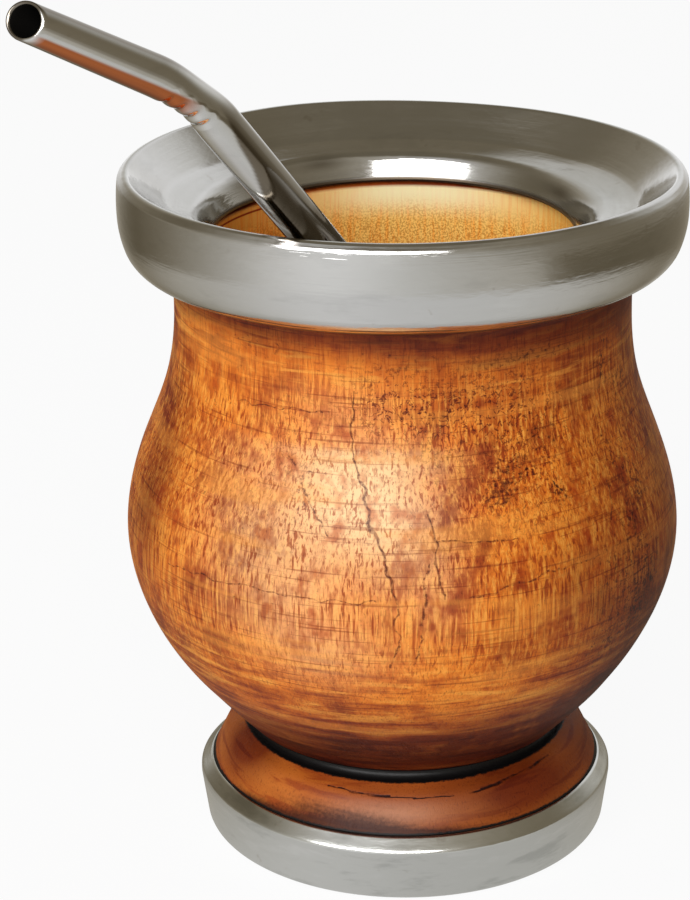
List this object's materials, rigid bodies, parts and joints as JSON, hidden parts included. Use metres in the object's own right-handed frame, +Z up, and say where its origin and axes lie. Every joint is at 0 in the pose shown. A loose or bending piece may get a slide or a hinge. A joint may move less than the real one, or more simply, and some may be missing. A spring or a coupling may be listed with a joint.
{
  "type": "mate cup",
  "caption": "Turned wooden mate cup with a wide spun-steel rim collar, a steel foot cap and a bent steel drinking straw leaning in its mouth.",
  "frame": {"origin": "centre of the flat underside of the foot cap, on the cup's own turning axis", "axes": "+Z up along the cup's turning axis; -Y towards the side that the picture shows; the straw leans towards -X and -Y"},
  "size_m": [0.0886, 0.0951, 0.1351],
  "materials": {
    "wood": "varnished, darker towards the waist and under the collar",
    "collar_steel": "polished with fine turning lines",
    "base_steel": "satin",
    "straw_steel": "mirror polished"
  },
  "bodies": {
    "root": {"cup_body": "wood", "rim_collar": "collar_steel", "base_cap": "base_steel", "bombilla": "straw_steel"}
  },
  "joints": []
}
